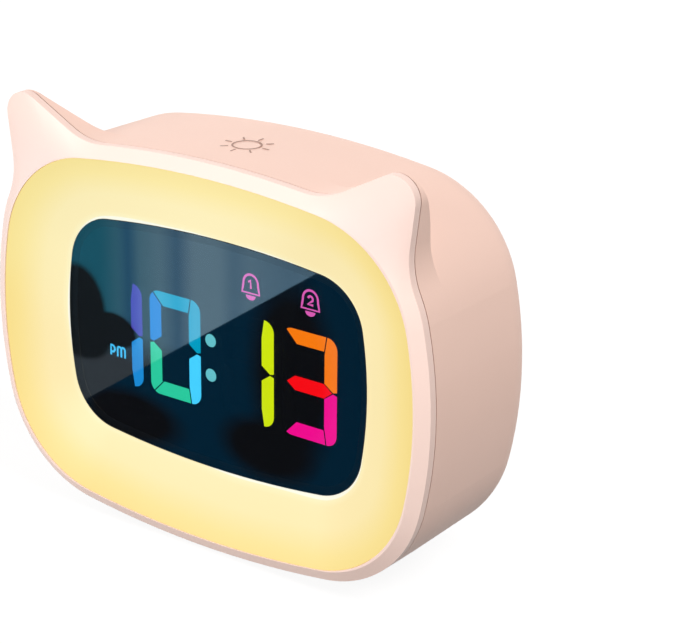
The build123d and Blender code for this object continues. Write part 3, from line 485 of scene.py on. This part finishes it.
display = {
    "strength": 4.9,
    "barEdge": 0.12,
    "narrow": 8.0,                                 # a digit narrower than this has only its right bars
    "middleColumn": (0.25, 0.75),                  # shares of a digit's width
    "bottomRow": 0.2, "topRow": 0.8,               # shares of its height
}
barGlow = {
    "violet": tint(70, 44, 164), "blue": tint(28, 138, 210), "azure": tint(0, 124, 206),
    "teal": tint(0, 156, 188), "green": tint(44, 204, 152), "sky": tint(72, 212, 255),
    "lime": tint(214, 234, 0), "orange": tint(255, 124, 0), "red": tint(255, 0, 10),
    "magenta": tint(248, 0, 142), "pale": tint(104, 194, 198), "pink": tint(222, 92, 178),
    "aqua": tint(66, 192, 242),
}
litBars = {
    "digit_1": {"upperRight": "violet", "lowerRight": "blue"},
    "digit_2": {"top": "teal", "upperRight": "teal", "upperLeft": "azure", "lowerLeft": "green",
                "bottom": "green", "lowerRight": "sky"},
    "digit_3": {"upperRight": "lime", "lowerRight": "lime"},
    "digit_4": {"top": "orange", "upperRight": "orange", "middle": "red", "lowerRight": "magenta",
                "bottom": "magenta"},
}
glowMaterials = {name: glowing("glow" + name.capitalize(), color, display["strength"])
                 for name, color in barGlow.items()}


def barName(part, low, high):
    # which bar of a digit a loose part is, by where its middle lies in the digit's box
    corners = [Vector(c) for c in part.bound_box]
    middle = sum(corners, Vector()) / 8
    across = (middle.x - low.x) / (high.x - low.x)
    up = (middle.z - low.z) / (high.z - low.z)
    if high.x - low.x < display["narrow"] * mm:
        return "upperRight" if up > 0.5 else "lowerRight"
    left, right = display["middleColumn"]
    if left < across < right:
        return "top" if up > display["topRow"] else "bottom" if up < display["bottomRow"] else "middle"
    side = "Left" if across < 0.5 else "Right"
    return ("upper" if up > 0.5 else "lower") + side


def makeDigit(node, lit):
    # each bar gets its own glow, or stays dark; a set with one colour lights all of its pieces
    low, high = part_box(node)
    selectOnly(copyOf(node, node + "_bars"))
    bpy.ops.mesh.separate(type="LOOSE")
    bars = list(bpy.context.selected_objects)
    for bar in bars:
        glow = lit.get(barName(bar, low, high)) if isinstance(lit, dict) else lit
        bar.data.materials.clear()
        bar.data.materials.append(glowMaterials[glow] if glow else finishes["darkBar"])
        bevelEdges(bar, display["barEdge"])
    digit = joinAll(bars, node + "_bars")
    smooth(digit, 40)
    settle(digit, "clock", None)
    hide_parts(node)


for nodeName, lit in litBars.items():
    makeDigit(nodeName, lit)
makeDigit("colon_dots", "pale")
print("display bars made")


def arcPoints(centre, radius, start, end, steps=10):
    turns = [math.radians(start + (end - start) * i / steps) for i in range(steps + 1)]
    return [(centre[0] + radius * math.cos(t), centre[1] + radius * math.sin(t)) for t in turns]


def circlePoints(radius, steps):
    return arcPoints((0, 0), radius, 0, 360 - 360 / steps, steps - 1)


def drawLine(points, width, closed=False):
    # one inked line: a round cord along the points, flattened later
    bpy.ops.curve.primitive_bezier_curve_add()
    obj = bpy.context.object
    curve = obj.data
    curve.splines.clear()
    spline = curve.splines.new("POLY")
    spline.points.add(len(points) - 1)
    for point, (x, y) in zip(spline.points, points):
        point.co = (x * mm, y * mm, 0, 1)
    spline.use_cyclic_u = closed
    curve.bevel_depth = width / 2 * mm
    curve.bevel_resolution = 3
    curve.use_fill_caps = True
    selectOnly(obj)
    bpy.ops.object.convert(target="MESH")
    return bpy.context.object


bell = {"lip": (2.94, -1.9), "side": [(2.72, -0.7), (2.52, 0.3)], "dome": 2.46, "domeMiddle": 0.94,
        "clapper": 1.65, "clapperTop": -2.55, "clapperFlat": 0.8, "clapperThick": 0.3}
figures = {"1": [(-0.75, 1.2), (-0.05, 1.75), (0.05, -0.6)],
           "2": arcPoints((0, 1.0), 0.78, 165, -35, 8) + [(-0.85, -0.6), (0.9, -0.6)]}


def drawClapper(size):
    # the lower half of a disc, a little flattened
    bpy.ops.mesh.primitive_circle_add(vertices=24, radius=bell["clapper"] * size * mm, fill_type="NGON")
    clapper = bpy.context.object
    applyAll(clapper)
    bpy.ops.object.mode_set(mode="EDIT")
    bpy.ops.mesh.select_all(action="SELECT")
    bpy.ops.mesh.bisect(plane_co=(0, 0, 0), plane_no=(0, 1, 0), use_fill=False, clear_outer=True)
    bpy.ops.object.mode_set(mode="OBJECT")
    addModifier(clapper, "SOLIDIFY", thickness=bell["clapperThick"] * mm, offset=0.0)
    clapper.scale.y = bell["clapperFlat"]
    clapper.location.y = bell["clapperTop"] * size * mm
    applyAll(clapper)
    return clapper


def bellMark(figure, line, size=1.0):
    # alarm bell: domed outline on a level lip, clapper under it, its number inside
    side = [bell["lip"]] + bell["side"]
    dome = arcPoints((0, bell["domeMiddle"]), bell["dome"], 0, 180, 14)
    outline = side + dome + [(-x, y) for x, y in reversed(side)]
    parts = [drawClapper(size)]
    for points, closed in ((outline, True), (figures[figure], False)):
        parts.append(drawLine([(x * size, y * size) for x, y in points], line, closed))
    return parts


letters = {"left": -2.65, "bowlRight": -1.2, "legs": (-0.17, 1.2, 2.6), "high": 1.45, "low": -1.5,
           "bowlLow": -0.5}


def lettersMark(spec, line):
    # a capital P, then an M of two round arches
    radius = (spec["high"] - spec["bowlLow"]) / 2
    bowlMiddle = (spec["bowlRight"] - radius, spec["high"] - radius)
    stem = [(spec["left"], spec["low"]), (spec["left"], spec["high"])]
    bowl = arcPoints(bowlMiddle, radius, 90, -90) + [(spec["left"], spec["bowlLow"])]
    parts = [drawLine(stem + bowl, line)]
    for left, right in zip(spec["legs"], spec["legs"][1:]):
        half = (right - left) / 2
        arch = arcPoints((left + half, spec["high"] - half), half, 180, 0)
        parts.append(drawLine([(left, spec["low"])] + arch + [(right, spec["low"])], line))
    return parts


def sunMark(spec, rays=8):
    # circle with short rays round it
    parts = [drawLine(circlePoints(spec["disc"], 48), spec["line"], closed=True)]
    for i in range(rays):
        t = math.radians(spec["turn"] + 360 / rays * i)
        parts.append(drawLine([(math.cos(t) * r, math.sin(t) * r) for r in spec["ray"]], spec["line"]))
    return parts


def flatten(parts, name, thickness):
    # the mark's pieces become one sheet of even thickness, lying in its own plane
    mark = joinAll(parts, name)
    applyAll(mark)
    mark.scale.z = thickness * mm / mark.dimensions.z
    applyAll(mark)
    return mark


# where a mark's own x and y point, for each way that it can face
markAxes = {
    "front": ((1, 0, 0), (0, 0, 1)),
    "back": ((-1, 0, 0), (0, 0, 1)),
    "up": ((1, 0, 0), (0, 1, 0)),
}


def standOn(mark, origin, facing):
    # turns the flat mark to face out of the front, the back or the top
    side, rise = (Vector(axis) for axis in markAxes[facing])
    turned = Matrix((side, rise, side.cross(rise))).transposed().to_4x4()
    mark.matrix_world = Matrix.Translation(origin) @ turned
    applyAll(mark)


signs = {
    "depth": 8.3, "thickness": 0.16, "line": 0.66, "maskEdge": 0.1,
    "bellOne": (13.08, 22.5), "bellTwo": (33.05, 22.5), "afternoonMark": (-35.1, -7.8),
}


def makeSignMask(spec):
    # the dark inserts that the lit marks stand on
    mask = copyOf("sign_windows", "signMask")
    bevelEdges(mask, spec["maskEdge"])
    smooth(mask)
    settle(mask, "clock", finishes["caseBlack"])
    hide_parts("sign_windows")


def makeSign(name, parts, glow):
    mark = flatten(parts, name, signs["thickness"])
    standOn(mark, onDial(*signs[name], signs["depth"]), "front")
    smooth(mark, 50)
    settle(mark, "clock", glowMaterials[glow])


makeSignMask(signs)
makeSign("bellOne", bellMark("1", signs["line"]), "pink")
makeSign("bellTwo", bellMark("2", signs["line"]), "pink")
makeSign("afternoonMark", lettersMark(letters, signs["line"]), "aqua")
print("signs made")

touchSun = {
    "disc": 4.0, "ray": (5.2, 7.3), "line": 0.5, "turn": 1.5,
    "x": 0.6, "depth": 22.0,                # its middle, behind the face plane
    "thickness": 0.1, "proud": 0.03,        # the ink's thickness, and how far its middle stands out
}


def makeTouchSun(spec):
    # the sun is printed on the curved top, so it drops towards its sides as the top does
    sun = flatten(sunMark(spec), "touchSun", spec["thickness"])
    standOn(sun, onDial(spec["x"], housing["halfHeight"] + spec["proud"], spec["depth"]), "up")
    radius = housing["capRadius"] * mm
    for vertex in sun.data.vertices:
        vertex.co.z -= radius - math.sqrt(radius ** 2 - vertex.co.x ** 2)
    smooth(sun)
    settle(sun, "clock", finishes["inkBrown"])


makeTouchSun(touchSun)
print("touch mark made")

keyInk = {
    "line": 0.38, "thickness": 0.08,
    "dial": 1.7, "hands": [(0, 1.05), (0, 0), (0.75, -0.45)],
    "bell": 0.6,                                                    # share of the sign's size
    "sun": {"disc": 0.95, "ray": (1.4, 2.0), "line": 0.304, "turn": 0.0},
    "bar": 1.3, "barLine": 0.494,                                   # half length and width
}


def keyMark(kind, spec):
    if kind == "time":
        return [drawLine(circlePoints(spec["dial"], 36), spec["line"], closed=True),
                drawLine(spec["hands"], spec["line"])]
    if kind.startswith("alarm"):
        return bellMark(kind[-1], spec["line"], spec["bell"])
    if kind == "light":
        return sunMark(spec["sun"])
    bars = [drawLine([(-spec["bar"], 0), (spec["bar"], 0)], spec["barLine"])]
    if kind == "plus":
        bars.append(drawLine([(0, -spec["bar"]), (0, spec["bar"])], spec["barLine"]))
    return bars


for kind in keys:
    low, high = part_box("button_" + kind)
    mark = flatten(keyMark(kind, keyInk), "mark_" + kind, keyInk["thickness"])
    standOn(mark, Vector(((low.x + high.x) / 2, high.y, (low.z + high.z) / 2)), "back")
    smooth(mark)
    settle(mark, "key_" + kind, finishes["inkBrown"])
print("key marks made")

viewSet = {"azimuth": 36.288, "elevation": 20.907, "roll": 0.575, "distance": 573.6,
           "target": (47.97, -27.1, 79.68), "lens": 119.02, "sensor": 36.0, "clip": (10.0, 20000.0)}


def makeCamera(spec):
    az, el, roll = (math.radians(spec[k]) for k in ("azimuth", "elevation", "roll"))
    back = Vector((math.sin(az) * math.cos(el), -math.cos(az) * math.cos(el), math.sin(el)))
    level = (-back).cross(Vector((0, 0, 1))).normalized()
    over = level.cross(-back)
    right = level * math.cos(roll) + over * math.sin(roll)
    up = over * math.cos(roll) - level * math.sin(roll)
    place = (Vector(spec["target"]) + back * spec["distance"]) * mm
    bpy.ops.object.camera_add()
    camera = bpy.context.object
    camera.matrix_world = Matrix.Translation(place) @ Matrix((right, up, back)).transposed().to_4x4()
    camera.data.lens = spec["lens"]
    camera.data.sensor_width = spec["sensor"]
    camera.data.clip_start, camera.data.clip_end = (d * mm for d in spec["clip"])
    bpy.context.scene.camera = camera


lampAim = (0.0, 0.0, 60.0)
lamps = {
    "key": {"at": (-330, -1200, 360), "size": 800, "power": 13.0, "color": (1.0, 0.99, 0.98)},
    "side": {"at": (950, -170, 1130), "size": 700, "power": 13.3, "color": (1.0, 0.98, 0.965)},
    "rear": {"at": (-800, 1000, 300), "size": 500, "power": 10.0, "color": (1.0, 0.985, 0.97),
             "shine": False},   # its glancing reflection would whiten the top
}


def makeLamp(name, spec):
    place = Vector(spec["at"]) * mm
    bpy.ops.object.light_add(type="AREA", location=place)
    lamp = bpy.context.object
    lamp.name = name
    lamp.data.shape = "DISK"
    lamp.data.size = spec["size"] * mm
    lamp.data.energy = spec["power"]
    lamp.data.color = spec["color"]
    lamp.visible_glossy = spec.get("shine", True)
    lamp.rotation_euler = (Vector(lampAim) * mm - place).to_track_quat("-Z", "Y").to_euler()


def seenDirectly(tree):
    # 1 for camera, mirror and glass rays, 0 for the light that falls on the object
    path = addNode(tree, "ShaderNodeLightPath")
    total = path.outputs["Is Camera Ray"]
    for other in ("Is Glossy Ray", "Is Transmission Ray"):
        either = addNode(tree, "ShaderNodeMath", operation="MAXIMUM")
        tree.links.new(total, either.inputs[0])
        tree.links.new(path.outputs[other], either.inputs[1])
        total = either.outputs[0]
    return total


stage = {"ambient": 0.28, "ambientColor": (1.0, 0.965, 0.945, 1.0),
         "floorSize": 8000.0, "floorDrop": 0.1, "floorTone": 0.15, "floorRough": 0.9, "floorLift": 0.9}


def makeRoom(spec):
    # soft light on the object, plain white behind it
    world = bpy.data.worlds.new("paleRoom")
    bpy.context.scene.world = world
    world.use_nodes = True
    tree = world.node_tree
    tree.nodes.clear()
    soft = addNode(tree, "ShaderNodeBackground",
                   {"Color": spec["ambientColor"], "Strength": spec["ambient"]})
    white = addNode(tree, "ShaderNodeBackground", {"Color": (1, 1, 1, 1), "Strength": 1.0})
    mix = addNode(tree, "ShaderNodeMixShader")
    out = addNode(tree, "ShaderNodeOutputWorld")
    tree.links.new(seenDirectly(tree), mix.inputs[0])
    tree.links.new(soft.outputs[0], mix.inputs[1])
    tree.links.new(white.outputs[0], mix.inputs[2])
    tree.links.new(mix.outputs[0], out.inputs["Surface"])


def makeFloor(spec):
    # a pale floor just under the feet, lifted to near white where it is seen, so the shadow stays
    bpy.ops.mesh.primitive_plane_add(size=spec["floorSize"] * mm, location=(0, 0, -spec["floorDrop"] * mm))
    floor = bpy.context.object
    floor.name = "floor"
    tone = (spec["floorTone"],) * 3 + (1.0,)
    material, tree, shader = startMaterial("paleFloor", tone, spec["floorRough"])
    shader.inputs["Specular IOR Level"].default_value = 0.0
    lift = addNode(tree, "ShaderNodeMath", operation="MULTIPLY")
    lift.inputs[1].default_value = spec["floorLift"]
    tree.links.new(seenDirectly(tree), lift.inputs[0])
    tree.links.new(lift.outputs[0], shader.inputs["Emission Strength"])
    shader.inputs["Emission Color"].default_value = (1, 1, 1, 1)
    floor.data.materials.append(material)


card = {
    "y": -45.0, "x": (-94.0, 66.0), "z": (2.0, 106.0), "strength": 18.5,
    "edge": ((-72.5, 16.0), (17.8, 77.7)), "edgeSoft": 0.2,     # two points of the sheen's slanting edge
    "left": tint(24, 76, 92), "light": tint(84, 108, 122), "turnsLight": (-62.0, -30.0),
    "low": tint(44, 50, 55), "lowAt": (44.0, 34.0),
    "fold": tint(20, 62, 92), "foldSoft": 0.9,
    "folds": [(-51.5, 2.4, 0.7), (-32.8, 3.4, 0.6), (-11.5, 3.0, 0.3), (9.0, 14.0, 0.35)],
    "shape": tint(18, 22, 25), "shapeSoft": 0.08,
    "shapes": [((-72.0, 47.0), (11.0, 14.0)), ((-58.0, 43.0), (9.0, 5.5)), ((-71.0, 40.0), (12.0, 9.0))],
    "dark": tint(3, 30, 47), "deep": tint(11, 12, 15), "pitSoft": 0.25,
    "pits": [((9.0, 45.0), (14.0, 28.0)), ((0.0, 20.0), (16.0, 9.0)), ((-52.0, 17.0), (19.0, 8.0))],
}


def spotOf(tree, centre, radii, soft):
    # 1 inside an oval of the card and 0 outside it, with a soft rim; no height makes a band
    scale = (1 / (radii[0] * mm), 0, 1 / (radii[1] * mm) if radii[1] else 0)
    vector = placeCoords(tree, scale, move=(-centre[0] / radii[0], 0, -centre[1] * mm * scale[2]))
    length = addNode(tree, "ShaderNodeVectorMath", operation="LENGTH")
    tree.links.new(vector, length.inputs[0])
    return rangeOf(tree, length.outputs["Value"], 1 - soft, 1 + soft, 1.0, 0.0)


def dimRoom(spec):
    # above the slanting edge a pale room with curtain folds and dark shapes, below it near black
    material = bpy.data.materials.new("dimRoom")
    material.use_nodes = True
    tree = material.node_tree
    tree.nodes.clear()
    coords, axes = ownCoords(tree)
    (x1, z1), (x2, z2) = spec["edge"]
    normal = Vector((-(z2 - z1), 0, x2 - x1)).normalized()
    dot = addNode(tree, "ShaderNodeVectorMath", {1: normal}, operation="DOT_PRODUCT")
    tree.links.new(coords, dot.inputs[0])
    offset = normal.dot(Vector((x1 * mm, 0, z1 * mm)))
    soft = spec["edgeSoft"] * mm
    above = rangeOf(tree, dot.outputs["Value"], offset - soft, offset + soft, 0.0, 1.0)

    across = rangeOf(tree, axes["X"], *(x * mm for x in spec["turnsLight"]), 0.0, 1.0)
    room = mixColors(tree, across, spec["left"], spec["light"])
    for x, half, share in spec["folds"]:
        band = rangeOf(tree, spotOf(tree, (x, 0), (half, 0), spec["foldSoft"]), 0.0, 1.0, 0.0, share)
        room = mixColors(tree, band, room, spec["fold"])
    high, low = (z * mm for z in spec["lowAt"])
    dusk = rangeOf(tree, axes["Z"], low, high, 1.0, 0.0)
    room = mixColors(tree, dusk, room, spec["low"])
    for centre, radii in spec["shapes"]:
        room = mixColors(tree, spotOf(tree, centre, radii, spec["shapeSoft"]), room, spec["shape"])
    night = spec["dark"]
    for centre, radii in spec["pits"]:
        night = mixColors(tree, spotOf(tree, centre, radii, spec["pitSoft"]), night, spec["deep"])
    color = mixColors(tree, above, night, room)
    emit = addNode(tree, "ShaderNodeEmission", {"Strength": spec["strength"]})
    tree.links.new(color, emit.inputs["Color"])
    out = addNode(tree, "ShaderNodeOutputMaterial")
    tree.links.new(emit.outputs[0], out.inputs["Surface"])
    return material


def makeCard(spec):
    # a card before the dial that only mirrors and glass see
    width, height = (spec[k][1] - spec[k][0] for k in ("x", "z"))
    middle = (sum(spec["x"]) / 2 * mm, spec["y"] * mm, sum(spec["z"]) / 2 * mm)
    bpy.ops.mesh.primitive_plane_add(size=1.0, location=middle, rotation=(math.radians(90), 0, 0))
    obj = bpy.context.object
    obj.name = "mirrorCard"
    obj.scale = (width * mm, height * mm, 1)
    applyAll(obj)
    obj.data.materials.append(dimRoom(spec))
    obj.visible_camera = obj.visible_diffuse = obj.visible_shadow = False


makeRoom(stage)
makeFloor(stage)
makeCard(card)
for lampName, lampSpec in lamps.items():
    makeLamp(lampName, lampSpec)
makeCamera(viewSet)
bpy.context.scene.view_settings.view_transform = "Standard"
print("stage, lamps and camera made")
